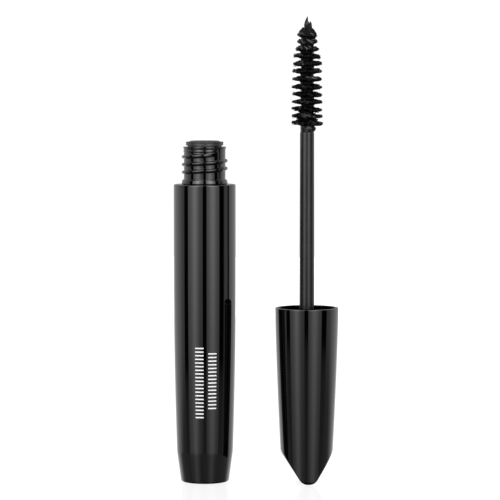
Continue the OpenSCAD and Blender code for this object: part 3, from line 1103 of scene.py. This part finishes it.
def softbox_level(box, turn, rise):
    """Brightness of a softbox, which is brightest in the middle and towards its top."""
    base = box.base + box.outer_lift * ramp(abs(turn), 38, 58)
    across = base + (box.peak - base) * math.exp(-((turn - box.centre) / box.width) ** 2)
    eye_level = 3.3
    top_level = 7.8
    foot_level = 0.8
    if rise < 0:
        level = max(eye_level * math.exp(rise / 21), foot_level)
    elif rise < 45:
        level = eye_level + 0.15 * min(rise, 30)
    else:
        level = top_level - 5.2 * ramp(rise, 45, 85)
    return across * level * (1 - 0.85 * ramp(rise, -30, -60))


def dark_level(rise):
    """Brightness of the dark room: none, apart from the edge of the table below and the ceiling."""
    table = 0.2 * ramp(rise, -11, -12.5) + 0.1 * ramp(rise, -12, -27)
    table *= 1 - ramp(rise, -30, -50)
    return table + 1.2 * ramp(rise, 55, 80)


def pale_level(away, rise):
    """Brightness of the pale walls, the table below them, the ceiling, and a dimmer strip at the back."""
    wall = 0.66 + 0.46 * ramp(away, 82, 112) - 0.35 * ramp(away, 115, 165)
    table = 0.3 + 0.75 * ramp(away + 2 * rise, 60, 95)
    level = wall + (table - wall) * ramp(rise, -6, -15)
    level *= 1 - 0.7 * ramp(rise, -25, -50)
    level *= 1 - 0.55 * ramp(away, 166, 171)
    return level + 1.2 * ramp(rise, 50, 85)


def studio_level(turn, rise):
    """Brightness of the studio, by the angle from its front and the height above level, in degrees."""
    for box in SOFTBOXES:
        if box.start < turn < box.end:
            return softbox_level(box, turn, rise)
    if DARK_START < turn < DARK_END:
        return dark_level(rise)
    return pale_level(abs(turn), rise)


def glow_material():
    """Light of the strength that each point of the mesh has as its level."""
    material = bpy.data.materials.new("studio_light")
    material.use_nodes = True
    tree = material.node_tree
    tree.nodes.clear()
    level = tree.nodes.new("ShaderNodeAttribute")
    level.attribute_name = "level"
    glow = tree.nodes.new("ShaderNodeEmission")
    out = tree.nodes.new("ShaderNodeOutputMaterial")
    tree.links.new(level.outputs["Fac"], glow.inputs["Strength"])
    tree.links.new(glow.outputs["Emission"], out.inputs["Surface"])
    material.cycles.emission_sampling = "NONE"
    return material


def studio_dome():
    """The softboxes, the dark gaps between them and the pale room, as polished surfaces reflect them."""
    front = math.atan2(CAMERA_AT.y, CAMERA_AT.x)
    turn_steps = 720
    rise_steps = 120
    points, faces, rings, levels = [], [], [], []
    for i in range(rise_steps + 1):
        rise = -90 + 180 * i / rise_steps
        flat = math.cos(math.radians(rise)) * STUDIO_RADIUS
        height = math.sin(math.radians(rise)) * STUDIO_RADIUS
        ring = []
        for k in range(turn_steps):
            turn = 360 * k / turn_steps - 180
            angle = front + math.radians(turn)
            offset = Vector((flat * math.cos(angle), flat * math.sin(angle), height))
            ring.append(tuple(STUDIO_CENTRE + offset))
            levels.append(studio_level(turn, rise))
        rings.append(ring)
    add_rings(points, faces, rings, closed=False)
    dome = mesh_piece("studio_dome", points, faces)
    dome.data.attributes.new("level", "FLOAT", "POINT").data.foreach_set("value", levels)
    dome.data.materials.append(glow_material())
    for ray in ("camera", "diffuse", "transmission", "volume_scatter", "shadow"):
        setattr(dome, f"visible_{ray}", False)


def floor():
    """A pale, lightly polished table, which glows as if it were lit from below."""
    corners = [(-1, -1), (1, -1), (1, 1), (-1, 1)]
    points = [(x * FLOOR_HALF, y * FLOOR_HALF, -FLOOR_DROP) for x, y in corners]
    table = mesh_piece("floor", points, [(0, 1, 2, 3)])
    darker = (0.245, 0.245, 0.245)
    lighter = (0.255, 0.255, 0.255)
    material, tree, shader = new_material("floor", lighter, roughness=0.12)
    tint = object_noise(tree, scale=40, detail=3)
    tree.links.new(mix_colours(tree, tint, darker, lighter), shader.inputs["Base Color"])
    shader.inputs["Emission Color"].default_value = (1, 1, 1, 1)
    shader.inputs["Emission Strength"].default_value = FLOOR_GLOW
    table.data.materials.append(material)
    table.visible_glossy = False


def room_light():
    """Soft white light from all round."""
    world = bpy.data.worlds.new("room")
    bpy.context.scene.world = world
    world.use_nodes = True
    background = world.node_tree.nodes["Background"]
    background.inputs["Color"].default_value = (1, 1, 1, 1)
    background.inputs["Strength"].default_value = ROOM_STRENGTH
    bpy.context.scene.view_settings.view_transform = "Standard"


# ---------------------------------------------------------------- the scene

barrel()
vial()
wiper()
printed_marks()
cap()
inner_cap()
stem()
twisted_wire()
brush()
root_collar()
tip_wisps()
dress_cad_nodes()
camera()
studio_dome()
floor()
room_light()
